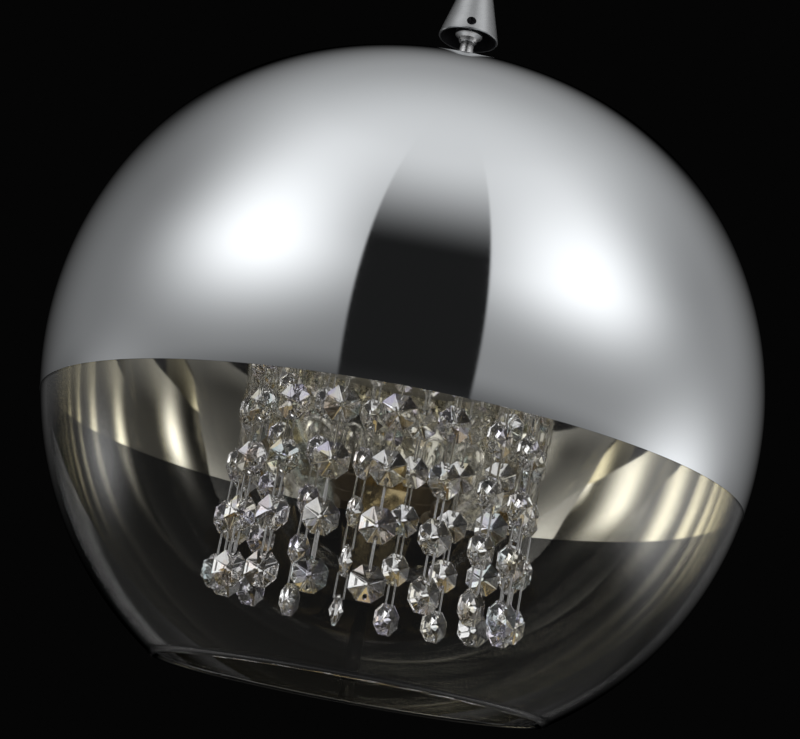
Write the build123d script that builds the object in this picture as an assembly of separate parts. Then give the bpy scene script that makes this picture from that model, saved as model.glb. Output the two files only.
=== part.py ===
from build123d import *
import math
import os

# Crystal pendant light: a blown glass globe, mirror-coated above its waist,
# hung from a small cord cone.  Inside it a round plate carries four capsule
# lamps and a ring of crystal strands.
# Millimetres, +Z up.  Shapes are drawn about the centre of the globe and then
# shifted so that the origin is the top of the cord inlet, on the globe's axis.

# ---------------------------------------------------------------- dimensions
GLOBE_R = 150.0          # outside radius of the globe, coating included
FILM_T = 0.2             # mirror coating (drawn thicker than the real one)
GLASS_T = 2.6            # glass wall
CROWN_A1 = 60.0          # polar angle where the sphere turns into the shoulder
CROWN_A2 = 14.0          # polar angle where the shoulder turns into the crown
SHOULDER_R = 120.0       # shoulder radius
SEAT_R = 16.0            # flat seat ground on the crown
HOLE_R = 5.0             # hole for the hanging stem
RIM_Z = -30.8            # lower edge of the mirror coating
MOUTH_Z = -125.2         # plane of the open mouth
STEM_R = 3.0
STEM_BORE_R = 2.0
CONE_BASE_Z = 162.0      # lower rim of the cord cone
CONE_R = 13.2
CONE_H = 29.6
CONE_HALF_ANGLE = 15.0
CONE_WALL = 1.2
BUSH_FLANGE = 1.5
BUSH_BORE_R = 2.6
BUSH_L = 10.0
HUB_UP = 9.0             # hub disc above the cone's lower rim
SCREW_Z = 3.8            # set screw height above the cone's lower rim
SCREW_R = 2.0
RING_R = 61.0            # pitch circle of the crystal strands
STRANDS = 17
BEADS = 7
BEAD_FLATS = 14.0        # crystal, across flats
BEAD_APEX = 3.4          # half thickness in the middle
BEAD_GIRDLE = 0.7        # half thickness at the edge
BEAD_HOLE_AT = 4.9       # hole to bead centre
BEAD_HOLE_R = 0.9
PITCH = 22.4             # bead to bead along a strand
WIRE_R = 0.45            # link wire
LINK_W = 4.4             # link width between wire centres
LINK_CORNER = 1.2
EYE_R = 0.5              # eye bar radius
EYE_GAP = 1.2            # link crossbar above the eye bar's centre line
EYE_HALF = 2.2           # eye leg to middle
EYE_DROP = 4.0           # eye bar below the plate
BOTTOM_BEAD_Z = -89.0    # centre of the lowest bead
PLATE_R = 72.0
PLATE_T = 1.6
PLATE_RIM_H = 8.0
PLATE_RIM_T = 1.2
HOLDER_AT = 33.0         # lamp holders' pitch radius
HOLDER_R = 10.0
HOLDER_H = 20.0
PIN_AT = 4.5             # lamp pins, half spacing
PIN_R = 0.5
PIN_L = 7.0
PIN_HOLE_R = 0.9
LAMP_GAP = 0.3
LAMP_BASE_R = 7.2
LAMP_BASE_H = 6.0
LAMP_R = 6.3
LAMP_BARREL = 16.5
NUT_AF = 10.0            # stem nuts, across flats
NUT_T = 4.0
WASHER_R = 15.0
WASHER_T = 1.2
GASKET_R = 14.0
GASKET_T = 1.5
WIRE_LEAD_R = 0.8
BLOCK = (20.0, 14.0, 10.0)
BLOCK_Y = 26.0
LEAD_Z = 4.6             # leads run this far above the plate
# turn of the lowest bead from the strand's radial plane, strand by strand
TWIST = [4, 14, 3, -28, -45, -72, 70, 72, 54, 78, 28, -13, -44, -60, 43, 17, 38]

# ---------------------------------------------------------------- derived
HINGE_Z = BOTTOM_BEAD_Z + (BEADS - 1) * PITCH + PITCH - BEAD_HOLE_AT - EYE_GAP
PLATE_Z = HINGE_Z + EYE_DROP                     # underside of the plate
PLATE_TOP = PLATE_Z + PLATE_T
INLET_Z = CONE_BASE_Z + CONE_H + BUSH_FLANGE     # top of the cord inlet
A1 = math.radians(CROWN_A1)
A2 = math.radians(CROWN_A2)
KX = (GLOBE_R - SHOULDER_R) * math.sin(A1)       # shoulder centre
KZ = (GLOBE_R - SHOULDER_R) * math.cos(A1)
CROWN_R = SHOULDER_R + KX / math.sin(A2)         # crown radius, centre on axis
CROWN_Z = KZ - (CROWN_R - SHOULDER_R) * math.cos(A2)

os.makedirs("parts", exist_ok=True)


def save(name, shapes):
    """Write one node: its solids, shifted to the cord inlet frame."""
    shapes = shapes if isinstance(shapes, (list, tuple)) else [shapes]
    solids = []
    for s in shapes:
        for q in s.solids():
            solids.append(q.moved(Location((0, 0, -INLET_Z))))
    obj = solids[0] if len(solids) == 1 else Compound(children=solids)
    obj.label = name
    export_step(obj, "parts/" + name + ".step")


def cyl(r, z0, z1, x=0.0, y=0.0):
    return Pos(x, y, (z0 + z1) / 2) * Cylinder(r, z1 - z0)


def ring(ro, ri, z0, z1, x=0.0, y=0.0):
    return cyl(ro, z0, z1, x, y) - cyl(ri, z0 - 1, z1 + 1, x, y)


def turn(points_edges):
    return revolve(make_face(points_edges), Axis.Z)


def prof(off, alpha):
    """Point of the globe's outside profile moved in by off, at surface angle alpha."""
    if alpha >= A1:
        r = GLOBE_R - off
        return (r * math.sin(alpha), r * math.cos(alpha))
    if alpha >= A2:
        r = SHOULDER_R - off
        return (KX + r * math.sin(alpha), KZ + r * math.cos(alpha))
    r = CROWN_R - off
    return (r * math.sin(alpha), CROWN_Z + r * math.cos(alpha))


def seat_z(off):
    return CROWN_Z + math.sqrt((CROWN_R - off) ** 2 - SEAT_R ** 2)


def seat_alpha(off):
    return math.asin(SEAT_R / (CROWN_R - off))


def v(p):
    return Vector(p[0], 0, p[1])


# ---------------------------------------------------------------- globe
GO, GI = FILM_T, FILM_T + GLASS_T                # outside and inside of the glass
a_mouth_o = math.acos((MOUTH_Z) / (GLOBE_R - GO))
a_mouth_i = math.acos((MOUTH_Z) / (GLOBE_R - GI))
po = prof(GO, a_mouth_o)
pi_ = prof(GI, a_mouth_i)
lip_mid = ((po[0] + pi_[0]) / 2 - 0.45, MOUTH_Z - 1.45)
so = Vector(SEAT_R, 0, seat_z(GO))
si = Vector(SEAT_R, 0, seat_z(GI))
edges = []
pts_o = [so] + [v(prof(GO, a)) for a in (A2, A1, a_mouth_o)]
pts_i = [si] + [v(prof(GI, a)) for a in (A2, A1, a_mouth_i)]
mids_o = [(seat_alpha(GO) + A2) / 2, (A2 + A1) / 2, (A1 + a_mouth_o) / 2]
mids_i = [(seat_alpha(GI) + A2) / 2, (A2 + A1) / 2, (A1 + a_mouth_i) / 2]
for k in range(3):
    edges.append(ThreePointArc(pts_o[k], v(prof(GO, mids_o[k])), pts_o[k + 1]))
edges.append(ThreePointArc(pts_o[3], v(lip_mid), pts_i[3]))
for k in (2, 1, 0):
    edges.append(ThreePointArc(pts_i[k + 1], v(prof(GI, mids_i[k])), pts_i[k]))
edges.append(Line(si, Vector(HOLE_R, 0, seat_z(GI))))
edges.append(Line(Vector(HOLE_R, 0, seat_z(GI)), Vector(HOLE_R, 0, seat_z(GO))))
edges.append(Line(Vector(HOLE_R, 0, seat_z(GO)), so))
save("globe_glass", turn(edges))

# mirror coating on the outside, from the seat down to its sharp lower edge
a_rim = math.acos(RIM_Z / (GLOBE_R - GO))
f_in = [so] + [v(prof(GO, a)) for a in (A2, A1, a_rim)]
s_top = seat_alpha(GO)
f_out = [v(prof(0.0, a)) for a in (s_top, A2, A1, a_rim)]
edges = []
mid_a = [(s_top + A2) / 2, (A2 + A1) / 2, (A1 + a_rim) / 2]
for k in range(3):
    edges.append(ThreePointArc(f_in[k], v(prof(GO, mid_a[k])), f_in[k + 1]))
edges.append(Line(f_in[3], f_out[3]))
for k in (2, 1, 0):
    edges.append(ThreePointArc(f_out[k + 1], v(prof(0.0, mid_a[k])), f_out[k]))
edges.append(Line(f_out[0], f_in[0]))
save("mirror_film", turn(edges))

# ---------------------------------------------------------------- globe clamp
z_top, z_in = seat_z(GO), seat_z(GI)
save("upper_gasket", ring(GASKET_R, STEM_R + 0.2, z_top, z_top + GASKET_T))
save("upper_washer", ring(WASHER_R, STEM_R + 0.2, z_top + GASKET_T, z_top + GASKET_T + WASHER_T))
save("centring_sleeve", ring(HOLE_R, STEM_R, z_in, z_top))
save("lower_gasket", ring(GASKET_R, STEM_R + 0.2, z_in - GASKET_T, z_in))
save("lower_washer", ring(WASHER_R, STEM_R + 0.2, z_in - GASKET_T - WASHER_T, z_in - GASKET_T))


def nut(z0):
    body = extrude(Plane.XY.offset(z0) * RegularPolygon(NUT_AF / 2, 6, major_radius=False), NUT_T)
    dome = Pos(0, 0, z0 + NUT_T / 2) * Cylinder(NUT_AF / 2 * 1.08, NUT_T)
    return (body & dome) - cyl(STEM_R, z0 - 1, z0 + NUT_T + 1)


nut_z = [z_top + GASKET_T + WASHER_T,                    # above the globe
         z_in - GASKET_T - WASHER_T - NUT_T,             # under the globe
         PLATE_TOP, PLATE_Z - NUT_T]                     # both sides of the plate
save("stem_nuts", [nut(z) for z in nut_z])

stem_lo = PLATE_Z - NUT_T - 4.0
stem_hi = CONE_BASE_Z + 15.6
save("hanging_stem", ring(STEM_R, STEM_BORE_R, stem_lo, stem_hi))

# ---------------------------------------------------------------- cord cone
t = math.tan(math.radians(CONE_HALF_ANGLE))
r_top = CONE_R - CONE_H * t
w = CONE_WALL / math.cos(math.radians(CONE_HALF_ANGLE))
z0, z1 = CONE_BASE_Z, CONE_BASE_Z + CONE_H
cone = turn(Polyline((CONE_R - w, 0, z0), (CONE_R - 0.3, 0, z0), (CONE_R, 0, z0 + 0.4),
                     (r_top + 0.1, 0, z1 - 0.3), (r_top - 0.2, 0, z1), (r_top - w, 0, z1),
                     (CONE_R - w, 0, z0)))
disc_r = CONE_R - w - 0.1 - HUB_UP * t                   # the disc follows the cone's taper
base = turn(Polyline((STEM_R, 0, z0 - 1.2), (STEM_R + 0.8, 0, z0 - 1.2), (STEM_R + 1.2, 0, z0 + 0.2),
                     (STEM_R + 2.4, 0, z0 + 1.2), (STEM_R + 3.0, 0, z0 + 1.6), (STEM_R + 3.0, 0, z0 + HUB_UP),
                     (disc_r, 0, z0 + HUB_UP), (disc_r - 2.0 * t, 0, z0 + HUB_UP + 2.0),
                     (STEM_R + 3.0, 0, z0 + HUB_UP + 2.0), (STEM_R + 3.0, 0, z0 + HUB_UP + 3.6),
                     (STEM_R, 0, z0 + HUB_UP + 3.6), (STEM_R, 0, z0 - 1.2)))
screw_axis = Pos(0, 0, z0 + SCREW_Z) * Rot(90, 0, 0)     # local +Z points to -Y


def along_screw(r, d0, d1):
    return screw_axis * (Pos(0, 0, (d0 + d1) / 2) * Cylinder(r, d1 - d0))


face_y = CONE_R - SCREW_Z * t                            # cone surface at the screw
save("suspension_cone", cone - along_screw(SCREW_R + 0.1, 2.0, 20.0))
save("cone_base", base - along_screw(SCREW_R, STEM_R - 1.0, 20.0))
screw = along_screw(SCREW_R, STEM_R + 0.1, face_y - 0.5)
screw -= screw_axis * (Pos(0, 0, face_y - 0.5) * Box(0.8, 6.0, 2.0))
save("set_screw", screw)

bush_r = r_top - w - 0.15
save("cord_bush", turn(Polyline((BUSH_BORE_R, 0, z1 - BUSH_L), (bush_r, 0, z1 - BUSH_L), (bush_r, 0, z1),
                                (r_top - 0.2, 0, z1), (r_top - 0.7, 0, INLET_Z), (BUSH_BORE_R, 0, INLET_Z),
                                (BUSH_BORE_R, 0, z1 - BUSH_L))))

# ---------------------------------------------------------------- plate
plate = turn(Polyline((STEM_R + 0.1, 0, PLATE_Z), (PLATE_R - PLATE_RIM_T, 0, PLATE_Z),
                      (PLATE_R - PLATE_RIM_T, 0, PLATE_TOP - PLATE_RIM_H), (PLATE_R, 0, PLATE_TOP - PLATE_RIM_H),
                      (PLATE_R, 0, PLATE_TOP - 0.6), (PLATE_R - 0.6, 0, PLATE_TOP), (STEM_R + 0.1, 0, PLATE_TOP),
                      (STEM_R + 0.1, 0, PLATE_Z)))
c45 = HOLDER_AT / math.sqrt(2)
holder_xy = [(c45, -c45), (c45, c45), (-c45, c45), (-c45, -c45)]
lead_routes = []                                         # start and end on the plate
for sx in (1, -1):
    lead_routes += [((sx * 15.0, -21.0), (sx * 3.5, BLOCK_Y - BLOCK[1] / 2 - 0.4)),
                    ((sx * 19.0, -19.0), (sx * 8.0, BLOCK_Y - BLOCK[1] / 2 - 0.4)),
                    ((sx * 20.0, 22.0), (sx * (BLOCK[0] / 2 + 0.2), 22.0)),
                    ((sx * 25.0, 29.0), (sx * (BLOCK[0] / 2 + 0.2), 29.0))]
for (x, y), _ in lead_routes:
    plate -= cyl(WIRE_LEAD_R + 0.4, PLATE_Z - 1, PLATE_TOP + 1, x, y)
screw_xy = []
for x, y in holder_xy:
    tx, ty = -y / HOLDER_AT, x / HOLDER_AT
    screw_xy += [(x + 6.5 * tx, y + 6.5 * ty), (x - 6.5 * tx, y - 6.5 * ty)]
for x, y in screw_xy:
    plate -= cyl(1.7, PLATE_Z - 1, PLATE_TOP + 1, x, y)
save("crystal_plate", plate)

# ---------------------------------------------------------------- lamps
holders, k = [], 0
for x, y in holder_xy:
    tx, ty = -y / HOLDER_AT, x / HOLDER_AT
    h = turn(Polyline((0, 0, PLATE_Z - HOLDER_H), (HOLDER_R - 1.6, 0, PLATE_Z - HOLDER_H),
                      (HOLDER_R - 0.6, 0, PLATE_Z - HOLDER_H + 1.0), (HOLDER_R - 0.6, 0, PLATE_Z - 8.0),
                      (HOLDER_R, 0, PLATE_Z - 7.4), (HOLDER_R, 0, PLATE_Z), (0, 0, PLATE_Z),
                      (0, 0, PLATE_Z - HOLDER_H)))
    h = Pos(x, y, 0) * h
    for s in (1, -1):
        h -= cyl(PIN_HOLE_R, PLATE_Z - HOLDER_H - 1, PLATE_Z - HOLDER_H + PIN_L + 1.5,
                 x + s * PIN_AT * tx, y + s * PIN_AT * ty)
        h -= cyl(1.2, PLATE_Z - 8.0, PLATE_Z + 1, x + s * 6.5 * tx, y + s * 6.5 * ty)
    holders.append(h)
    k += 1
    top = PLATE_Z - HOLDER_H - LAMP_GAP
    lamp = turn([Line((0, 0, top), (LAMP_BASE_R, 0, top)),
                 Line((LAMP_BASE_R, 0, top), (LAMP_BASE_R, 0, top - LAMP_BASE_H)),
                 Line((LAMP_BASE_R, 0, top - LAMP_BASE_H), (LAMP_R, 0, top - LAMP_BASE_H - 0.9)),
                 Line((LAMP_R, 0, top - LAMP_BASE_H - 0.9), (LAMP_R, 0, top - LAMP_BASE_H - LAMP_BARREL)),
                 ThreePointArc((LAMP_R, 0, top - LAMP_BASE_H - LAMP_BARREL),
                               (LAMP_R * math.sin(math.pi / 4), 0,
                                top - LAMP_BASE_H - LAMP_BARREL - LAMP_R * math.sin(math.pi / 4)),
                               (0, 0, top - LAMP_BASE_H - LAMP_BARREL - LAMP_R)),
                 Line((0, 0, top - LAMP_BASE_H - LAMP_BARREL - LAMP_R), (0, 0, top))])
    lamp = Pos(x, y, 0) * lamp
    for s in (1, -1):
        lamp += cyl(PIN_R, top - 1.0, top + PIN_L, x + s * PIN_AT * tx, y + s * PIN_AT * ty)
    save("bulb_%d" % k, lamp)
save("lamp_holders", holders)


def pan_screw(x, y):
    return (cyl(1.2, PLATE_Z - 7.5, PLATE_TOP + 0.5, x, y)
            + cyl(2.7, PLATE_TOP, PLATE_TOP + 1.7, x, y)
            - Pos(x, y, PLATE_TOP + 1.7) * Box(0.7, 8.0, 1.4))


save("holder_screws", [pan_screw(x, y) for x, y in screw_xy])

# ---------------------------------------------------------------- wiring
bz = PLATE_TOP
block = Pos(0, BLOCK_Y, bz + BLOCK[2] / 2) * Box(*BLOCK)
block = chamfer(block.edges().group_by(Axis.Z)[-1], 0.8)
ts_xy = [(-5.0, BLOCK_Y), (5.0, BLOCK_Y)]
for x, y in ts_xy:
    block -= cyl(2.2, bz + 3.0, bz + BLOCK[2] + 1, x, y)
save("terminal_block", block)
save("terminal_screws", [cyl(2.0, bz + 3.0, bz + 7.5, x, y) - Pos(x, y, bz + 7.5) * Box(5.0, 0.7, 1.6)
                         for x, y in ts_xy])
leads = []
for (x0, y0), (x1, y1) in lead_routes:
    zt = PLATE_TOP + LEAD_Z
    path = FilletPolyline((x0, y0, PLATE_Z), (x0, y0, zt), (x1, y1, zt), radius=3.0)
    sec = Plane((x0, y0, PLATE_Z), z_dir=(0, 0, 1)) * Circle(WIRE_LEAD_R)
    leads.append(sweep(sec, path=path))
save("lead_wires", leads)

# ---------------------------------------------------------------- strand eyes


def eye(theta):
    """U-shaped eye: a level bar across the strand with a leg up to the plate at each end."""
    bar = Rot(90, 0, 0) * Cylinder(EYE_R, 2 * EYE_HALF + 2 * EYE_R)
    legs = [Pos(0, s * EYE_HALF, EYE_DROP / 2) * Cylinder(EYE_R, EYE_DROP) for s in (1, -1)]
    u = bar + legs[0] + legs[1]
    return Pos(0, 0, HINGE_Z) * Rot(0, 0, theta) * Pos(RING_R, 0, 0) * u


thetas = [-90.0 + 360.0 * k / STRANDS for k in range(STRANDS)]
save("strand_eyes", [eye(th) for th in thetas])

# ---------------------------------------------------------------- crystals
rc = BEAD_FLATS / 2 / math.cos(math.pi / 8)              # corner radius


def bead_shape():
    """Octagonal crystal facing +X, flats up and down, both faces cut as low pyramids."""
    oct_ = [(rc * math.cos(math.pi / 8 + k * math.pi / 4), rc * math.sin(math.pi / 8 + k * math.pi / 4))
            for k in range(8)]
    faces = []
    for s in (1, -1):
        apex = (s * BEAD_APEX, 0, 0)
        for k in range(8):
            a, b = oct_[k], oct_[(k + 1) % 8]
            faces.append(Face(Wire.make_polygon([apex, (s * BEAD_GIRDLE, a[0], a[1]),
                                                 (s * BEAD_GIRDLE, b[0], b[1])])))
    for k in range(8):
        a, b = oct_[k], oct_[(k + 1) % 8]
        faces.append(Face(Wire.make_polygon([(BEAD_GIRDLE, a[0], a[1]), (BEAD_GIRDLE, b[0], b[1]),
                                             (-BEAD_GIRDLE, b[0], b[1]), (-BEAD_GIRDLE, a[0], a[1])])))
    body = Solid(Shell(faces))
    for s in (1, -1):
        body -= Pos(0, 0, s * BEAD_HOLE_AT) * Rot(0, 90, 0) * Cylinder(BEAD_HOLE_R, 20)
    return body.solids()[0]


def wire_link(length):
    """Closed wire link in the XZ plane, its upper crossbar on z = 0."""
    h, c = LINK_W / 2, LINK_CORNER
    body = None
    for s in (1, -1):
        side = Pos(s * h, 0, -length / 2) * Cylinder(WIRE_R, length - 2 * c)
        body = side if body is None else body + side
    for z in (0.0, -length):
        body += Pos(0, 0, z) * Rot(0, 90, 0) * Cylinder(WIRE_R, LINK_W - 2 * c)
    for s in (1, -1):
        for z, zc in ((0.0, -c), (-length, -length + c)):
            q = Rot(90, 0, 0) * Torus(c, WIRE_R)
            quad = Pos(s * 2.0, 0, (2.0 if z == 0.0 else -2.0)) * Box(4.0, 4.0, 4.0)
            body += Pos(s * (h - c), 0, zc) * (q & quad)
    return body.solids()[0]


link_len = PITCH - 2 * BEAD_HOLE_AT                      # between the crossbars
bead0 = bead_shape()
link0 = wire_link(link_len)
top_z = HINGE_Z + EYE_GAP                                # crossbar of the first link
for k, th in enumerate(thetas):
    step = TWIST[k] / (BEADS - 0.5)
    beads, links = [], []
    for j in range(BEADS):
        z_bar = top_z - j * PITCH                        # upper crossbar of link j
        turn_b = step * (j + 0.5)
        turn_l = step * j if j else 0.0
        place = Pos(0, 0, 0) * Rot(0, 0, th) * Pos(RING_R, 0, z_bar)
        links.append(link0.moved(place * Rot(0, 0, turn_l)))
        beads.append(bead0.moved(place * Pos(0, 0, -link_len - BEAD_HOLE_AT) * Rot(0, 0, turn_b)))
    save("strand_%02d_beads" % (k + 1), beads)
    save("strand_%02d_links" % (k + 1), links)
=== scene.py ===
import math
import bpy
import bmesh
from mathutils import Matrix, Vector


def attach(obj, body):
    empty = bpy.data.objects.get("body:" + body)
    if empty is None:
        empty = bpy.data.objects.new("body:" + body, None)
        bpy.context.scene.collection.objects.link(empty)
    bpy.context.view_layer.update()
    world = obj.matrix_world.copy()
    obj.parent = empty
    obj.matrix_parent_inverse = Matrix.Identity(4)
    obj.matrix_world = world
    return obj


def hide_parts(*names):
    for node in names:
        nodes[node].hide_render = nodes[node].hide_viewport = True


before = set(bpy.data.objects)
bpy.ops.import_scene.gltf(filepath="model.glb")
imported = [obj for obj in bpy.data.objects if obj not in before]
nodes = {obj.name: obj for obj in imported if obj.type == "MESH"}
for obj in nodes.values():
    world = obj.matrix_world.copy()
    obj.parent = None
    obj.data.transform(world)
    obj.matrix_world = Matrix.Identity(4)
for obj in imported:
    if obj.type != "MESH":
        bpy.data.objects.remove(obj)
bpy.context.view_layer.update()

scene = bpy.context.scene
MM = 0.001

# ------------------------------------------------------------------ dimensions
# millimetres about the globe's centre; Z0 moves them to the row frame
INLET_Z = 193.1
Z0 = -INLET_Z * MM
GLOBE_R, FILM_T, GLASS_T = 150.0, 0.2, 2.6
A1, A2, SHOULDER_R = math.radians(60.0), math.radians(14.0), 120.0
SEAT_R, HOLE_R = 16.0, 5.0
RIM_Z, MOUTH_Z = -30.8, -125.2
RING_R, STRANDS, BEADS = 61.0, 17, 7
BEAD_FLATS, BEAD_APEX, BEAD_GIRDLE = 14.0, 3.4, 0.7
BEAD_HOLE_AT, BEAD_HOLE_R, PITCH = 4.9, 0.9, 22.4
WIRE_R, LINK_W, LINK_CORNER = 0.45, 4.4, 1.2
EYE_GAP, BOTTOM_BEAD_Z = 1.2, -89.0
TWIST = [4, 14, 3, -28, -45, -72, 70, 72, 54, 78, 28, -13, -44, -60, 43, 17, 38]
HINGE_Z = BOTTOM_BEAD_Z + (BEADS - 1) * PITCH + PITCH - BEAD_HOLE_AT - EYE_GAP
PLATE_Z = HINGE_Z + 4.0
HOLDER_AT, HOLDER_H = 33.0, 20.0
LAMP_TOP = PLATE_Z - HOLDER_H - 0.3


# ------------------------------------------------------------------ node helpers
class Tree:
    """Short calls for building a node tree."""

    def __init__(self, nt):
        self.nt = nt

    def add(self, kind, **props):
        n = self.nt.nodes.new(kind)
        for k, val in props.items():
            setattr(n, k, val)
        return n

    def link(self, a, b):
        self.nt.links.new(a, b)

    def put(self, socket, value):
        if hasattr(value, "is_output"):
            self.link(value, socket)
        else:
            socket.default_value = value

    def math(self, op, a, b=None, c=None, clamp=False):
        n = self.add("ShaderNodeMath", operation=op, use_clamp=clamp)
        self.put(n.inputs[0], a)
        if b is not None:
            self.put(n.inputs[1], b)
        if c is not None:
            self.put(n.inputs[2], c)
        return n.outputs[0]

    def smooth(self, x, lo, hi):
        n = self.add("ShaderNodeMapRange", interpolation_type="SMOOTHSTEP")
        self.put(n.inputs["Value"], x)
        n.inputs["From Min"].default_value = lo
        n.inputs["From Max"].default_value = hi
        return n.outputs["Result"]

    def remap(self, x, lo, hi, to_lo, to_hi):
        n = self.add("ShaderNodeMapRange")
        self.put(n.inputs["Value"], x)
        n.inputs["From Min"].default_value = lo
        n.inputs["From Max"].default_value = hi
        n.inputs["To Min"].default_value = to_lo
        n.inputs["To Max"].default_value = to_hi
        return n.outputs["Result"]

    def gauss(self, x, mid, width):
        d = self.math("DIVIDE", self.math("SUBTRACT", x, mid), width)
        return self.math("EXPONENT", self.math("MULTIPLY", self.math("MULTIPLY", d, d), -1.0))

    def lobe(self, x, mid, below, above):
        """Bell curve with its own width on each side of the middle."""
        d = self.math("SUBTRACT", x, mid)
        lo = self.math("DIVIDE", self.math("MINIMUM", d, 0.0), below)
        hi = self.math("DIVIDE", self.math("MAXIMUM", d, 0.0), above)
        sq = self.math("ADD", self.math("MULTIPLY", lo, lo), self.math("MULTIPLY", hi, hi))
        return self.math("EXPONENT", self.math("MULTIPLY", sq, -1.0))

    def noise(self, vec, scale, detail=2.0, rough=0.5):
        n = self.add("ShaderNodeTexNoise")
        if vec is not None:
            self.link(vec, n.inputs["Vector"])
        n.inputs["Scale"].default_value = scale
        n.inputs["Detail"].default_value = detail
        n.inputs["Roughness"].default_value = rough
        return n.outputs["Fac"]

    def mix(self, fac, a, b):
        n = self.add("ShaderNodeMix", data_type="RGBA")
        self.put(n.inputs["Factor"], fac)
        cols = [i for i in n.inputs if i.type == "RGBA"]
        self.put(cols[0], a)
        self.put(cols[1], b)
        return [o for o in n.outputs if o.type == "RGBA"][0]

    def bump(self, height, strength, distance):
        n = self.add("ShaderNodeBump")
        n.inputs["Strength"].default_value = strength
        n.inputs["Distance"].default_value = distance
        self.link(height, n.inputs["Height"])
        return n.outputs["Normal"]


def material(name):
    m = bpy.data.materials.new(name)
    m.use_nodes = True
    t = Tree(m.node_tree)
    p = m.node_tree.nodes["Principled BSDF"]
    tc = t.add("ShaderNodeTexCoord")
    return m, t, p, tc.outputs["Object"]


def rgba(c, k=1.0):
    return (c[0] * k, c[1] * k, c[2] * k, 1.0)


def stretched(t, vec, sx, sy, sz):
    n = t.add("ShaderNodeMapping")
    t.link(vec, n.inputs["Vector"])
    n.inputs["Scale"].default_value = (sx, sy, sz)
    return n.outputs["Vector"]


def metal(name, colour, rough, scale=60.0, spread=0.05, var=0.4, brushed=None, bump=0.0):
    """A metal with soft cloudy variation in colour and roughness; brushed = stretch of the grain."""
    m, t, p, vec = material(name)
    grain = stretched(t, vec, *brushed) if brushed else vec
    n1 = t.noise(grain, scale, 4.0, 0.6)
    n2 = t.noise(vec, scale * 0.18, 3.0, 0.5)
    t.link(t.mix(t.remap(n2, 0.3, 0.7, 0.0, 1.0), rgba(colour, 1.0 - spread), rgba(colour, 1.0 + spread)), p.inputs["Base Color"])
    t.link(t.remap(n1, 0.25, 0.75, rough * (1 - var), rough * (1 + var)), p.inputs["Roughness"])
    p.inputs["Metallic"].default_value = 1.0
    if bump:
        t.link(t.bump(n1, bump, 0.0002), p.inputs["Normal"])
    return m


def dielectric(name, colour, rough, scale=120.0, spread=0.06, var=0.25, bump=0.1, distance=0.0002):
    """Ceramic, plastic or rubber: mottled colour, uneven gloss, fine bump."""
    m, t, p, vec = material(name)
    n1 = t.noise(vec, scale * 6.0, 4.0, 0.65)
    n2 = t.noise(vec, scale, 3.0, 0.55)
    t.link(t.mix(t.remap(n2, 0.3, 0.7, 0.0, 1.0), rgba(colour, 1.0 - spread), rgba(colour, 1.0 + spread)), p.inputs["Base Color"])
    t.link(t.remap(n1, 0.25, 0.75, rough * (1 - var), min(1.0, rough * (1 + var))), p.inputs["Roughness"])
    t.link(t.bump(n1, bump, distance), p.inputs["Normal"])
    return m


def glass(name, tint, ior, rough=0.0, film=0.0, wave=0.0, wave_scale=9.0):
    """Clear glass, very slightly uneven in tint; film = thin interference layer in nanometres."""
    m, t, p, vec = material(name)
    n2 = t.noise(vec, 35.0, 2.0, 0.5)
    t.link(t.mix(t.remap(n2, 0.3, 0.7, 0.0, 1.0), rgba(tint, 0.985), rgba(tint, 1.0)), p.inputs["Base Color"])
    p.inputs["Roughness"].default_value = rough
    p.inputs["Transmission Weight"].default_value = 1.0
    p.inputs["IOR"].default_value = ior
    if film:
        p.inputs["Thin Film Thickness"].default_value = film
        p.inputs["Thin Film IOR"].default_value = 1.36
    if wave:
        t.link(t.bump(t.noise(vec, wave_scale, 1.0, 0.4), wave, 0.001), p.inputs["Normal"])
    return m


# ------------------------------------------------------------------ materials
def mirror_outside():
    m, t, p, vec = material("mirror_coat_outside")
    cloud = t.noise(vec, 7.0, 3.0, 0.5)
    fine = t.noise(vec, 420.0, 3.0, 0.6)
    t.link(t.mix(t.remap(cloud, 0.3, 0.7, 0.0, 1.0), (0.795, 0.825, 0.850, 1), (0.825, 0.850, 0.872, 1)), p.inputs["Base Color"])
    t.link(t.remap(fine, 0.3, 0.7, 0.030, 0.052), p.inputs["Roughness"])
    p.inputs["Metallic"].default_value = 1.0
    t.link(t.bump(t.noise(vec, 11.0, 1.0, 0.4), 0.05, 0.001), p.inputs["Normal"])
    return m


def mirror_inside():
    m, t, p, vec = material("mirror_coat_inside")
    cloud = t.noise(vec, 9.0, 3.0, 0.5)
    streak = t.noise(stretched(t, vec, 1.0, 1.0, 0.12), 70.0, 3.0, 0.55)
    t.link(t.mix(t.remap(cloud, 0.3, 0.7, 0.0, 1.0), (0.955, 0.938, 0.872, 1), (0.970, 0.956, 0.898, 1)), p.inputs["Base Color"])
    t.link(t.remap(streak, 0.3, 0.7, 0.012, 0.030), p.inputs["Roughness"])
    p.inputs["Metallic"].default_value = 1.0
    t.link(t.bump(t.noise(vec, 14.0, 1.0, 0.4), 0.06, 0.001), p.inputs["Normal"])
    return m


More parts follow.
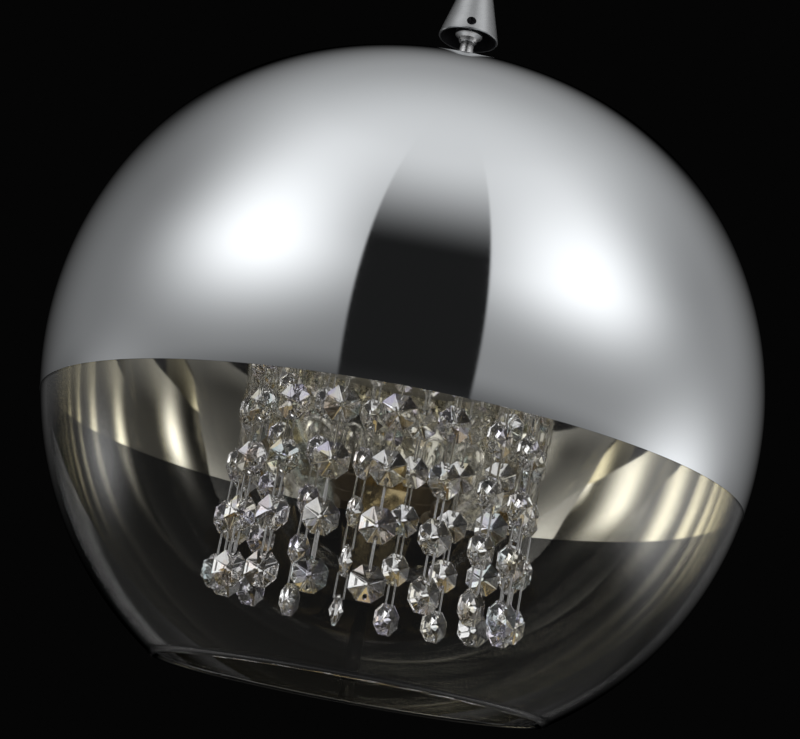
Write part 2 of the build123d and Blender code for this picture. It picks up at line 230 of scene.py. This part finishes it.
def crystal():
    """Lead crystal: clear, with faint colour flashes painted into its tint in place of dispersion, changing from facet
    to facet.
    """
    m, t, p, vec = material("cut_crystal")
    cells = t.add("ShaderNodeTexVoronoi")
    t.link(vec, cells.inputs["Vector"])
    cells.inputs["Scale"].default_value = 150.0
    rgb = t.add("ShaderNodeSeparateColor")
    t.link(cells.outputs["Color"], rgb.inputs[0])
    painted_fire_tint = t.add("ShaderNodeValToRGB")
    painted_fire_tint.color_ramp.interpolation = "CONSTANT"
    stops = ((0.0, (1.0, 0.93, 0.68)), (0.34, (0.80, 0.77, 1.0)), (0.62, (0.74, 0.93, 0.97)), (0.84, (1.0, 0.87, 0.80)))
    painted_fire_tint.color_ramp.elements.remove(painted_fire_tint.color_ramp.elements[1])
    painted_fire_tint.color_ramp.elements[0].position = stops[0][0]
    painted_fire_tint.color_ramp.elements[0].color = rgba(stops[0][1])
    for at, col in stops[1:]:
        painted_fire_tint.color_ramp.elements.new(at).color = rgba(col)
    t.link(rgb.outputs[0], painted_fire_tint.inputs["Fac"])
    # painted dispersion: some cells get a coloured tint that stands in for the colour fire of refracted light
    painted_fire_flash = t.math("MULTIPLY", t.smooth(rgb.outputs[1], 0.62, 0.80), 0.85)
    t.link(t.mix(painted_fire_flash, (0.995, 0.995, 0.995, 1.0), painted_fire_tint.outputs["Color"]), p.inputs["Base Color"])
    p.inputs["Roughness"].default_value = 0.0
    p.inputs["Transmission Weight"].default_value = 1.0
    p.inputs["IOR"].default_value = 1.68
    return m


def cone_metal(name, colour, rough, painted_shade_of):
    """Turned metal, brushed round its axis; the last argument gives how far a point lies in the recessed inside, where
    shade is painted as a near-black colour.
    """
    m, t, p, vec = material(name)
    grain = t.noise(stretched(t, vec, 0.25, 0.25, 4.0), 700.0, 4.0, 0.6)
    cloud = t.noise(vec, 126.0, 3.0, 0.5)
    sep = t.add("ShaderNodeSeparateXYZ")
    t.link(vec, sep.inputs[0])
    x, y, z = sep.outputs
    r = t.math("SQRT", t.math("ADD", t.math("MULTIPLY", x, x), t.math("MULTIPLY", y, y)))
    dark = painted_shade_of(t, r, z)
    face = t.mix(t.remap(cloud, 0.3, 0.7, 0.0, 1.0), rgba(colour, 0.92), rgba(colour, 1.08))
    # painted shade: inside the recess the colour is mixed to near black, standing in for the shade there
    t.link(t.mix(dark, face, (0.020, 0.020, 0.022, 1.0)), p.inputs["Base Color"])
    lit = t.remap(grain, 0.25, 0.75, rough * 0.75, rough * 1.25)
    t.link(t.math("MULTIPLY_ADD", dark, 0.35, lit), p.inputs["Roughness"])
    p.inputs["Metallic"].default_value = 1.0
    t.link(t.bump(grain, 0.15, 0.0002), p.inputs["Normal"])
    return m


def cone_inside_shade_mask(t, r, z):
    # the wall is 1.24 mm thick: past its middle counts as inside, which gets painted shade
    wall = t.math("MULTIPLY_ADD", t.math("SUBTRACT", z, Z0 + 162.0 * MM), -math.tan(math.radians(15.0)), 13.2 * MM)
    return t.smooth(t.math("SUBTRACT", wall, r), 0.55 * MM, 0.85 * MM)


def hub_disc_shade_mask(t, r, z):
    # painted shade on the recessed disc round the hub; the hub itself stays bright
    return t.smooth(r, 6.05 * MM, 6.3 * MM)


M_OUT = mirror_outside()
M_IN = mirror_inside()
M_GLASS = glass("clear_globe_glass", (0.976, 0.975, 0.971), 1.50, 0.0, wave=0.04, wave_scale=10.0)
M_CRYSTAL = crystal()
M_LAMPGLASS = glass("lamp_glass", (0.98, 0.98, 0.97), 1.47, 0.0, wave=0.05, wave_scale=120.0)
M_WIRE = metal("link_wire_chrome", (0.80, 0.80, 0.80), 0.10, scale=900.0, bump=0.05)
# the cone's inside and the hub's disc carry painted shade
M_CONE = cone_metal("satin_cone_painted_shade", (0.44, 0.45, 0.46), 0.30, cone_inside_shade_mask)
M_HUB = cone_metal("turned_hub_painted_shade", (0.86, 0.86, 0.86), 0.34, hub_disc_shade_mask)
M_STEM = metal("satin_stem", (0.86, 0.86, 0.87), 0.34, scale=700.0, brushed=(0.25, 0.25, 4.0), bump=0.08)
M_CHROME = metal("polished_chrome", (0.74, 0.75, 0.77), 0.08, scale=260.0, bump=0.04)
M_PLATE = metal("plate_gilt", (0.55, 0.44, 0.24), 0.12, scale=160.0, spread=0.06, bump=0.05)
M_ZINC = metal("zinc_screw", (0.60, 0.60, 0.57), 0.28, scale=900.0, spread=0.10)
M_BRASS = metal("brass_screw", (0.72, 0.55, 0.28), 0.25, scale=900.0, spread=0.10)
M_BLACK = metal("blackened_screw", (0.045, 0.045, 0.05), 0.35, scale=900.0, spread=0.20)
M_TUNGSTEN = metal("tungsten", (0.30, 0.29, 0.28), 0.40, scale=2500.0, spread=0.15)
M_CERAMIC = dielectric("holder_ceramic", (0.20, 0.15, 0.09), 0.34, scale=160.0, spread=0.10, bump=0.20)
M_TERMINAL = dielectric("terminal_plastic", (0.80, 0.79, 0.75), 0.42, scale=200.0)
M_LEAD = dielectric("lead_sleeve", (0.78, 0.76, 0.72), 0.60, scale=500.0, bump=0.3)
M_GASKET = dielectric("silicone_gasket", (0.62, 0.62, 0.60), 0.50, scale=300.0)
M_BUSH = dielectric("cord_bush_plastic", (0.30, 0.31, 0.32), 0.32, scale=300.0)


def finish(node, mat):
    o = nodes[node]
    o.data.materials.clear()
    o.data.materials.append(mat)


for n, mat in (("suspension_cone", M_CONE), ("cone_base", M_HUB), ("set_screw", M_BLACK), ("cord_bush", M_BUSH),
               ("hanging_stem", M_STEM), ("upper_washer", M_STEM), ("lower_washer", M_CHROME),
               ("upper_gasket", M_GASKET), ("lower_gasket", M_GASKET), ("centring_sleeve", M_GASKET),
               ("stem_nuts", M_CHROME), ("crystal_plate", M_PLATE), ("strand_eyes", M_WIRE),
               ("lamp_holders", M_CERAMIC), ("holder_screws", M_ZINC), ("terminal_block", M_TERMINAL),
               ("terminal_screws", M_BRASS), ("lead_wires", M_LEAD), ("globe_glass", M_GLASS),
               ("mirror_film", M_OUT)):
    finish(n, mat)
for k in range(1, STRANDS + 1):
    finish("strand_%02d_beads" % k, M_CRYSTAL)
    finish("strand_%02d_links" % k, M_WIRE)
for k in range(1, 5):
    finish("bulb_%d" % k, M_LAMPGLASS)


# ------------------------------------------------------------------ mesh helpers
def new_object(name, bm, mats, smooth=True, sharp_angle=None):
    me = bpy.data.meshes.new(name)
    bm.normal_update()
    bm.to_mesh(me)
    bm.free()
    for mat in mats:
        me.materials.append(mat)
    me.polygons.foreach_set("use_smooth", [smooth] * len(me.polygons))
    if sharp_angle is not None:
        me.set_sharp_from_angle(angle=math.radians(sharp_angle))
    o = bpy.data.objects.new(name, me)
    scene.collection.objects.link(o)
    return o


def lathe(bm, loop, segments, closed=True, mat_of=None, axis=(0.0, 0.0)):
    """Turns a list of (r, z) in millimetres about a vertical axis into faces of bm."""
    rings = []
    for r, z in loop:
        if r < 1e-6:
            rings.append([bm.verts.new((axis[0] * MM, axis[1] * MM, Z0 + z * MM))])
        else:
            rings.append([bm.verts.new(((axis[0] + r * math.cos(2 * math.pi * k / segments)) * MM,
                                        (axis[1] + r * math.sin(2 * math.pi * k / segments)) * MM, Z0 + z * MM))
                          for k in range(segments)])
    pairs = list(zip(range(len(rings) - 1), range(1, len(rings))))
    if closed:
        pairs.append((len(rings) - 1, 0))
    for i, j in pairs:
        a, b = rings[i], rings[j]
        for k in range(segments):
            q = (k + 1) % segments
            if len(a) == 1 and len(b) == 1:
                break
            if len(a) == 1:
                f = bm.faces.new((a[0], b[k], b[q]))
            elif len(b) == 1:
                f = bm.faces.new((a[k], b[0], a[q]))
            else:
                f = bm.faces.new((a[k], b[k], b[q], a[q]))
            f.material_index = mat_of(i) if mat_of else 0
    return rings


# ------------------------------------------------------------------ globe profile
# Arc length runs from the pole to the mouth; the curvature steps of crown,
# shoulder and sphere are softened so that reflections flow across them.
def globe_profile(step=0.5, soft=7.0):
    kx = (GLOBE_R - SHOULDER_R) * math.sin(A1)
    crown_r = SHOULDER_R + kx / math.sin(A2)
    l1 = crown_r * A2
    l2 = SHOULDER_R * (A1 - A2)
    l3 = GLOBE_R * (math.radians(152.0) - A1)
    n = int((l1 + l2 + l3) / step)

    def raw(s):
        s = abs(s)
        return 1 / crown_r if s < l1 else 1 / SHOULDER_R if s < l1 + l2 else 1 / GLOBE_R

    half = int(3 * soft / step)
    weights = [math.exp(-(k * step / soft) ** 2) for k in range(-half, half + 1)]
    total = sum(weights)
    out, phi, r, z = [], 0.0, 0.0, 0.0
    for i in range(n + 1):
        s = i * step
        kappa = sum(w * raw(s + (k - half) * step) for k, w in enumerate(weights)) / total
        out.append((r, z, phi))
        mid = phi + kappa * step / 2
        r += math.cos(mid) * step
        z -= math.sin(mid) * step
        phi += kappa * step
    # place it so that the equator is the true radius at height zero
    eq = min(range(len(out)), key=lambda i: abs(out[i][2] - math.pi / 2))
    dr, dz = GLOBE_R - out[eq][0], -out[eq][1]
    return [(max(0.0, r + dr * min(1.0, i * step / l1)), z + dz, phi) for i, (r, z, phi) in enumerate(out)]


PROFILE = globe_profile()


def skin(off, z_from=None, z_to=None, r_from=None, stride=4):
    """Points of the profile moved in by off along its normal, between two stations."""
    pts = [(r - off * math.sin(ph), z - off * math.cos(ph)) for r, z, ph in PROFILE]

    def at(i, t):
        return (pts[i][0] + (pts[i + 1][0] - pts[i][0]) * t, pts[i][1] + (pts[i + 1][1] - pts[i][1]) * t)

    lo, hi = 0, len(pts) - 1
    first, last = None, None
    if r_from is not None:
        for i in range(len(pts) - 1):
            if pts[i][0] <= r_from < pts[i + 1][0]:
                lo = i + 1
                first = at(i, (r_from - pts[i][0]) / (pts[i + 1][0] - pts[i][0]))
                break
    if z_from is not None:
        for i in range(len(pts) - 1):
            if pts[i][1] >= z_from > pts[i + 1][1]:
                lo = i + 1
                first = at(i, (pts[i][1] - z_from) / (pts[i][1] - pts[i + 1][1]))
                break
    if z_to is not None:
        for i in range(len(pts) - 1):
            if pts[i][1] >= z_to > pts[i + 1][1]:
                hi = i
                last = at(i, (pts[i][1] - z_to) / (pts[i][1] - pts[i + 1][1]))
                break
    mid = [pts[i] for i in range(lo, hi + 1)][1:-1:stride]
    return ([first] if first else []) + mid + ([last] if last else [])


SEG = 256
# glass: outside from the seat to the mouth, a rounded fire-polished lip, inside back up
out_pts = skin(FILM_T, r_from=SEAT_R, z_to=MOUTH_Z)
in_pts = skin(FILM_T + GLASS_T, r_from=SEAT_R, z_to=MOUTH_Z)
po, pi_ = out_pts[-1], in_pts[-1]
lip = []
cx, half = (po[0] + pi_[0]) / 2, (po[0] - pi_[0]) / 2
for k in range(1, 12):
    a = math.pi * k / 12
    lip.append((cx + half * math.cos(a) - 0.45 * math.sin(a), MOUTH_Z - 1.45 * math.sin(a)))
loop = out_pts + lip + in_pts[::-1] + [(HOLE_R, in_pts[0][1]), (HOLE_R, out_pts[0][1])]
bm = bmesh.new()
lathe(bm, loop, SEG)
globe = new_object("globe_glass_shell", bm, [M_GLASS], sharp_angle=40)
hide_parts("globe_glass")
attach(globe, "fixture")

# coating: a thin closed skin whose inner side lies just inside the glass surface
co = skin(0.0, r_from=SEAT_R, z_to=RIM_Z)
ci = skin(FILM_T + 0.1, r_from=SEAT_R, z_to=RIM_Z)
bm = bmesh.new()
n_out = len(co)
lathe(bm, co + ci[::-1], SEG, mat_of=lambda i: 0 if i < n_out else 1)
film = new_object("mirror_coating", bm, [M_OUT, M_IN], sharp_angle=40)
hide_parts("mirror_film")
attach(film, "fixture")


# ------------------------------------------------------------------ crystals and links
def bead_mesh():
    """Octagonal crystal facing +X with flats up and down, edges lightly eased; the two holes are drilled later by
    drill().
    """
    rc = BEAD_FLATS / 2 / math.cos(math.pi / 8)
    bm = bmesh.new()
    rims = {}
    for s in (1, -1):
        rims[s] = [bm.verts.new((s * BEAD_GIRDLE * MM, rc * math.cos(math.pi / 8 + k * math.pi / 4) * MM,
                                 rc * math.sin(math.pi / 8 + k * math.pi / 4) * MM)) for k in range(8)]
        apex = bm.verts.new((s * BEAD_APEX * MM, 0, 0))
        for k in range(8):
            a, b = rims[s][k], rims[s][(k + 1) % 8]
            bm.faces.new((apex, a, b) if s > 0 else (apex, b, a))
    for k in range(8):
        q = (k + 1) % 8
        bm.faces.new((rims[1][q], rims[1][k], rims[-1][k], rims[-1][q]))
    bmesh.ops.recalc_face_normals(bm, faces=bm.faces)
    bmesh.ops.bevel(bm, geom=list(bm.edges), offset=0.09 * MM, segments=1, affect="EDGES", profile=0.5)
    return bm


def drill(bm):
    me = bpy.data.meshes.new("crystal_blank")
    bm.to_mesh(me)
    bm.free()
    blank = bpy.data.objects.new("crystal_blank", me)
    scene.collection.objects.link(blank)
    cutters = []
    for s in (1, -1):
        cb = bmesh.new()
        bmesh.ops.create_cone(cb, cap_ends=True, segments=20, radius1=BEAD_HOLE_R * MM, radius2=BEAD_HOLE_R * MM,
                              depth=12 * MM, matrix=Matrix.Translation((0, 0, s * BEAD_HOLE_AT * MM)) @ Matrix.Rotation(math.pi / 2, 4, "Y"))
        cm = bpy.data.meshes.new("drill")
        cb.to_mesh(cm)
        cb.free()
        c = bpy.data.objects.new("drill", cm)
        scene.collection.objects.link(c)
        mod = blank.modifiers.new("hole", "BOOLEAN")
        mod.operation = "DIFFERENCE"
        mod.solver = "EXACT"
        mod.object = c
        cutters.append(c)
    dg = bpy.context.evaluated_depsgraph_get()
    done = bpy.data.meshes.new_from_object(blank.evaluated_get(dg))
    for o in cutters + [blank]:
        bpy.data.objects.remove(o, do_unlink=True)
    return done


BEAD = drill(bead_mesh())


def link_mesh(length, sides=10):
    """Closed wire link in the XZ plane with its upper crossbar on z = 0."""
    h, c = LINK_W / 2, LINK_CORNER
    path = []
    for (px, pz, a0) in ((h - c, -c, 90.0), (h - c, -length + c, 0.0), (-h + c, -length + c, -90.0), (-h + c, -c, -180.0)):
        for k in range(7):
            a = math.radians(a0 - 15.0 * k)
            path.append((px + c * math.cos(a), pz + c * math.sin(a)))
    bm = bmesh.new()
    rings, n = [], len(path)
    for i in range(n):
        x, z = path[i]
        xa, za = path[i - 1]
        xb, zb = path[(i + 1) % n]
        tx, tz = xb - xa, zb - za
        m = math.hypot(tx, tz)
        nx, nz = -tz / m, tx / m
        rings.append([bm.verts.new(((x + WIRE_R * math.cos(b) * nx) * MM, WIRE_R * math.sin(b) * MM,
                                    (z + WIRE_R * math.cos(b) * nz) * MM))
                      for b in (2 * math.pi * k / sides for k in range(sides))])
    for i in range(n):
        a, b = rings[i], rings[(i + 1) % n]
        for k in range(sides):
            q = (k + 1) % sides
            bm.faces.new((a[k], a[q], b[q], b[k]))
    bmesh.ops.recalc_face_normals(bm, faces=bm.faces)
    me = bpy.data.meshes.new("link")
    bm.to_mesh(me)
    bm.free()
    return me


LINK_LEN = PITCH - 2 * BEAD_HOLE_AT
LINK = link_mesh(LINK_LEN)
TOP_Z = HINGE_Z + EYE_GAP
for k in range(STRANDS):
    th = math.radians(-90.0 + 360.0 * k / STRANDS)
    step = math.radians(TWIST[k] / (BEADS - 0.5))
    bb, bl = bmesh.new(), bmesh.new()
    for j in range(BEADS):
        zb = TOP_Z - j * PITCH
        base = Matrix.Rotation(th, 4, "Z") @ Matrix.Translation((RING_R * MM, 0, Z0 + zb * MM))
        one = BEAD.copy()
        one.transform(base @ Matrix.Translation((0, 0, -(LINK_LEN + BEAD_HOLE_AT) * MM)) @ Matrix.Rotation(step * (j + 0.5), 4, "Z"))
        bb.from_mesh(one)
        bpy.data.meshes.remove(one)
        two = LINK.copy()
        two.transform(base @ Matrix.Rotation(step * j if j else 0.0, 4, "Z"))
        bl.from_mesh(two)
        bpy.data.meshes.remove(two)
    body = "strand_%02d" % (k + 1)
    ob = new_object(body + "_crystals", bb, [M_CRYSTAL], smooth=False)
    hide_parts(body + "_beads")
    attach(ob, body)
    ol = new_object(body + "_wire_links", bl, [M_WIRE], smooth=True)
    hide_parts(body + "_links")
    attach(ol, body)


# ------------------------------------------------------------------ lamps
def lamp(k, x, y):
    body = "bulb_%d" % k
    t = LAMP_TOP
    r0 = math.hypot(x, y)
    tx, ty = -y / r0, x / r0
    # clear envelope: rounded dome, straight barrel, pinched shoulder at the cap
    outer = [(0.0, t - 28.8)]
    for i in range(1, 13):
        a = math.radians(90.0 * i / 12)
        outer.append((6.3 * math.sin(a), t - 22.5 - 6.3 * math.cos(a)))
    outer += [(6.3, t - 12.0), (6.25, t - 8.0), (6.0, t - 6.9), (5.6, t - 6.2)]
    inner = [(5.0, t - 6.2), (5.2, t - 8.0), (5.3, t - 12.0)]
    for i in range(12, 0, -1):
        a = math.radians(90.0 * i / 12)
        inner.append((5.3 * math.sin(a), t - 22.5 - 5.3 * math.cos(a)))
    inner.append((0.0, t - 27.8))
    bm = bmesh.new()
    lathe(bm, (outer + inner)[::-1], 40, closed=False, axis=(x, y))
    env = new_object(body + "_envelope", bm, [M_LAMPGLASS], sharp_angle=50)
    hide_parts(body)
    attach(env, body)
    # cap with a grooved skirt
    cap = [(0.0, t), (6.4, t), (6.9, t - 0.3), (7.2, t - 0.8), (7.2, t - 2.0), (6.9, t - 2.3), (6.9, t - 2.9), (7.2, t - 3.2),
           (7.2, t - 5.3), (6.9, t - 5.9), (6.3, t - 6.1), (4.9, t - 6.1), (4.6, t - 5.4), (0.0, t - 5.4)]
    bm = bmesh.new()
    lathe(bm, cap, 40, closed=False, axis=(x, y))
    c = new_object(body + "_cap", bm, [M_CERAMIC], sharp_angle=35)
    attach(c, body)
    # inner support: two lead rods, two contact pins and a coiled filament
    bm = bmesh.new()
    for s in (1, -1):
        lathe(bm, [(0.0, t - 5.2), (0.45, t - 5.2), (0.45, t - 11.0), (0.0, t - 11.4)], 10, closed=False,
              axis=(x + 2.2 * s * tx, y + 2.2 * s * ty))
        lathe(bm, [(0.0, t + 7.0), (0.35, t + 6.9), (0.5, t + 6.5), (0.5, t - 0.2), (0.0, t - 0.2)], 12, closed=False,
              axis=(x + 4.5 * s * tx, y + 4.5 * s * ty))
    pts = []
    for i in range(241):
        f = i / 240.0
        along = -2.2 + 4.4 * f
        a = 2 * math.pi * 20 * f
        drop = -11.2 - 6.5 * math.sin(math.pi * f)
        pts.append(Vector(((x + along * tx + 0.55 * math.cos(a) * ty) * MM, (y + along * ty - 0.55 * math.cos(a) * tx) * MM,
                           Z0 + (t + drop + 0.55 * math.sin(a)) * MM)))
    rings = []
    for i, p in enumerate(pts):
        d = (pts[min(i + 1, 240)] - pts[max(i - 1, 0)]).normalized()
        u = d.cross(Vector((0, 0, 1)))
        u = (u if u.length > 1e-6 else d.cross(Vector((1, 0, 0)))).normalized()
        w = d.cross(u)
        rings.append([bm.verts.new(p + (u * math.cos(q) + w * math.sin(q)) * 0.11 * MM) for q in (2 * math.pi * j / 5 for j in range(5))])
    for a, b in zip(rings[:-1], rings[1:]):
        for j in range(5):
            bm.faces.new((a[j], a[(j + 1) % 5], b[(j + 1) % 5], b[j]))
    bm.faces.new(rings[0][::-1])
    bm.faces.new(rings[-1])
    bmesh.ops.recalc_face_normals(bm, faces=bm.faces)
    fil = new_object(body + "_filament_and_pins", bm, [M_TUNGSTEN], sharp_angle=40)
    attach(fil, body)


c45 = HOLDER_AT / math.sqrt(2)
for k, (x, y) in enumerate(((c45, -c45), (c45, c45), (-c45, c45), (-c45, -c45)), 1):
    lamp(k, x, y)


# ------------------------------------------------------------------ studio
def floor():
    m, t, p, vec = material("studio_floor")
    n = t.noise(vec, 3.0, 4.0, 0.5)
    t.link(t.mix(t.remap(n, 0.3, 0.7, 0.0, 1.0), (0.62, 0.62, 0.61, 1), (0.68, 0.68, 0.67, 1)), p.inputs["Base Color"])
    p.inputs["Roughness"].default_value = 0.75
    bm = bmesh.new()
    bmesh.ops.create_circle(bm, cap_ends=True, segments=96, radius=2.4, matrix=Matrix.Translation((0, 0, -2.40)))
    o = new_object("studio_floor", bm, [m], smooth=False)
    o.visible_glossy = False
    o.visible_transmission = False


floor()


def studio_light():
    """Two soft boxes at the front sides, a long soft top light, low side strips, dark behind and straight ahead."""
    w = bpy.data.worlds.new("studio")
    scene.world = w
    w.use_nodes = True
    nt = w.node_tree
    t = Tree(nt)
    bg = nt.nodes["Background"]
    tc = t.add("ShaderNodeTexCoord")
    sep = t.add("ShaderNodeSeparateXYZ")
    t.link(tc.outputs["Generated"], sep.inputs[0])
    x, y, z = sep.outputs
    deg = 180.0 / math.pi
    az = t.math("MULTIPLY", t.math("ARCTAN2", x, t.math("MULTIPLY", y, -1.0)), deg)
    el = t.math("MULTIPLY", t.math("ARCSINE", z), deg)
    side = t.math("ABSOLUTE", az)

    path = t.add("ShaderNodeLightPath")
    through = path.outputs["Transmission Depth"]
    within = t.smooth(through, 2.5, 3.5)

    def half(peak, az_mid, az_in, az_out, el_mid, el_dn, el_up, base, cut, strips):
        hot = t.math("MULTIPLY", t.lobe(side, az_mid, az_in, az_out), t.lobe(el, el_mid, el_dn, el_up))
        wash = t.math("MULTIPLY", t.math("SUBTRACT", 1.0, t.smooth(side, 115.0, 168.0)),
                      t.math("SUBTRACT", 1.0, t.smooth(el, 32.0, 66.0)))
        wash = t.math("MULTIPLY", wash, t.smooth(el, -16.0, -2.0))
        # the wall falls off low at the far side
        fall = t.math("MULTIPLY", t.math("MULTIPLY", t.smooth(side, 110.0, 135.0), t.smooth(el, 7.0, -4.0)), cut)
        wash = t.math("MULTIPLY", wash, t.math("SUBTRACT", 1.0, fall))
        shade = t.math("MULTIPLY", t.math("MULTIPLY", t.smooth(side, 108.0, 132.0), within), 0.8)
        wash = t.math("MULTIPLY", wash, t.math("SUBTRACT", 1.0, shade))
        out = t.math("ADD", t.math("MULTIPLY", hot, peak), t.math("MULTIPLY", wash, base))
        for power, outside, at, wide, mid, dn, up in strips:
            bar = t.math("MULTIPLY", t.gauss(side, at, wide), t.lobe(el, mid, dn, up))
            share = t.math("MULTIPLY_ADD", within, power - outside, outside)
            out = t.math("ADD", out, t.math("MULTIPLY", bar, share))
        return out

    left = half(1.185, 53.8, 30.6, 29.5, 26.7, 17.2, 23.1, 0.18, 0.85,
                ((0.12, 0.12, 99.0, 16.0, -5.0, 9.0, 9.0), (2.2, 1.0, 112.0, 9.5, -17.0, 7.0, 8.0)))
    right = half(1.09, 54.6, 34.6, 26.0, 29.8, 14.4, 20.4, 0.26, 0.45, ((1.6, 1.32, 98.0, 19.0, -16.0, 7.0, 19.0),))
    which = t.smooth(x, -0.01, 0.01)
    panels = t.math("ADD", t.math("MULTIPLY", right, which), t.math("MULTIPLY", left, t.math("SUBTRACT", 1.0, which)))
    # the boxes start 20 degrees off the camera's direction, with a crisp edge
    panels = t.math("MULTIPLY", panels, t.smooth(side, 19.3, 20.7))
    dim = t.math("MULTIPLY", t.smooth(y, -0.368, 0.579), 0.393)
    top = t.math("MULTIPLY", t.smooth(el, 30.3, 64.2), t.math("SUBTRACT", 0.71, dim))
    fill = t.math("MULTIPLY", t.smooth(y, 0.3, -0.4), 0.012)
    # dim room below; cards behind on the right and under the camera reach only what hangs inside the glass
    room = t.math("MULTIPLY", t.smooth(el, -5.0, -25.0), 0.04)

    # angle round from straight behind, positive to the right
    rear = t.math("MULTIPLY", t.math("ARCTAN2", x, y), deg)

    def window(a0, a1, el0, el1, edge=6.0):
        return t.math("MULTIPLY", t.math("MULTIPLY", t.smooth(rear, a0, a0 + edge), t.smooth(rear, a1, a1 - edge)),
                      t.math("MULTIPLY", t.smooth(el, el0, el0 + edge), t.smooth(el, el1, el1 - edge)))

    inside = t.smooth(through, 4.5, 5.5)
    few = t.smooth(path.outputs["Glossy Depth"], 1.7, 1.3)
    behind = t.math("MULTIPLY", window(-4.0, 46.0, -6.0, 28.0), inside)
    near = t.math("MULTIPLY", window(-1.0, 36.0, -54.0, -6.0), inside)
    wide = t.math("MULTIPLY", window(28.0, 80.0, -66.0, -14.0, 9.0), t.math("MULTIPLY", inside, few))
    below = t.math("MULTIPLY", t.smooth(el, -50.0, -68.0), t.math("MULTIPLY", within, few))
    card = t.math("ADD", t.math("MULTIPLY", behind, 1.2), t.math("MULTIPLY", near, 0.75))
    card = t.math("ADD", card, t.math("ADD", t.math("MULTIPLY", wide, 2.2), t.math("MULTIPLY", below, 1.7)))
    front = t.math("MULTIPLY", t.gauss(az, 8.0, 34.0), t.gauss(el, -38.0, 16.0))
    front = t.math("MULTIPLY", front, within)
    # the coating's own view of the front stays dim and warm, so the crystals stand out against it
    bare = t.math("MULTIPLY", few, t.smooth(through, 7.5, 6.5))
    front = t.math("MULTIPLY", front, t.math("MULTIPLY_ADD", bare, -0.75, 1.0))
    low = t.math("ADD", card, t.math("MULTIPLY", front, 1.25))
    level = t.math("ADD", t.math("ADD", panels, top), t.math("ADD", t.math("ADD", fill, room), low))
    # plain dark backdrop behind the object
    # and the same backdrop straight through the clear glass
    bends = t.math("ADD", path.outputs["Glossy Depth"], path.outputs["Diffuse Depth"])
    clear = t.math("MULTIPLY", t.smooth(bends, 0.6, 0.4),
                   t.math("MULTIPLY", t.smooth(through, 0.4, 0.6), t.smooth(through, 5.5, 4.5)))
    seen = t.math("MAXIMUM", path.outputs["Is Camera Ray"], clear)
    level = t.math("ADD", t.math("MULTIPLY", level, t.math("SUBTRACT", 1.0, seen)), t.math("MULTIPLY", seen, 0.0015))
    t.link(level, bg.inputs["Strength"])
    warm = t.math("MULTIPLY", t.math("MULTIPLY", within, t.gauss(az, 4.0, 26.0)), t.smooth(el, -4.0, -16.0))
    warm = t.math("MULTIPLY", warm, t.math("MULTIPLY_ADD", bare, 0.8, 0.2))
    t.link(t.mix(warm, (1.0, 1.0, 1.0, 1.0), (1.0, 0.91, 0.68, 1.0)), bg.inputs["Color"])


studio_light()


def camera():
    """The photograph's station: below the globe's middle, looking up, frame rolled."""
    dh, h, yaw, pitch, roll, f = 5.1806, 1.1767, -0.0036, 0.2350, 0.1848, 1894.2
    loc = Vector((0.0, -dh * 0.15, -h * 0.15 + Z0))
    fwd = Vector((math.sin(yaw) * math.cos(pitch), math.cos(yaw) * math.cos(pitch), math.sin(pitch)))
    right = Vector((math.cos(yaw), -math.sin(yaw), 0.0))
    up = right.cross(fwd)
    r2 = right * math.cos(roll) + up * math.sin(roll)
    u2 = -right * math.sin(roll) + up * math.cos(roll)
    m = Matrix(((r2.x, u2.x, -fwd.x, loc.x), (r2.y, u2.y, -fwd.y, loc.y), (r2.z, u2.z, -fwd.z, loc.z), (0, 0, 0, 1)))
    cam = bpy.data.cameras.new("camera")
    cam.sensor_width = 36.0
    cam.sensor_fit = "HORIZONTAL"
    cam.lens = f * 36.0 / 800.0
    cam.clip_start = 0.01
    cam.clip_end = 50.0
    o = bpy.data.objects.new("camera", cam)
    o.matrix_world = m
    scene.collection.objects.link(o)
    scene.camera = o


camera()
scene.view_settings.view_transform = "Standard"
scene.cycles.max_bounces = 28
scene.cycles.transmission_bounces = 24
scene.cycles.glossy_bounces = 16
scene.cycles.diffuse_bounces = 3
scene.cycles.transparent_max_bounces = 8
scene.cycles.caustics_reflective = True
scene.cycles.caustics_refractive = True
scene.cycles.use_denoising = True
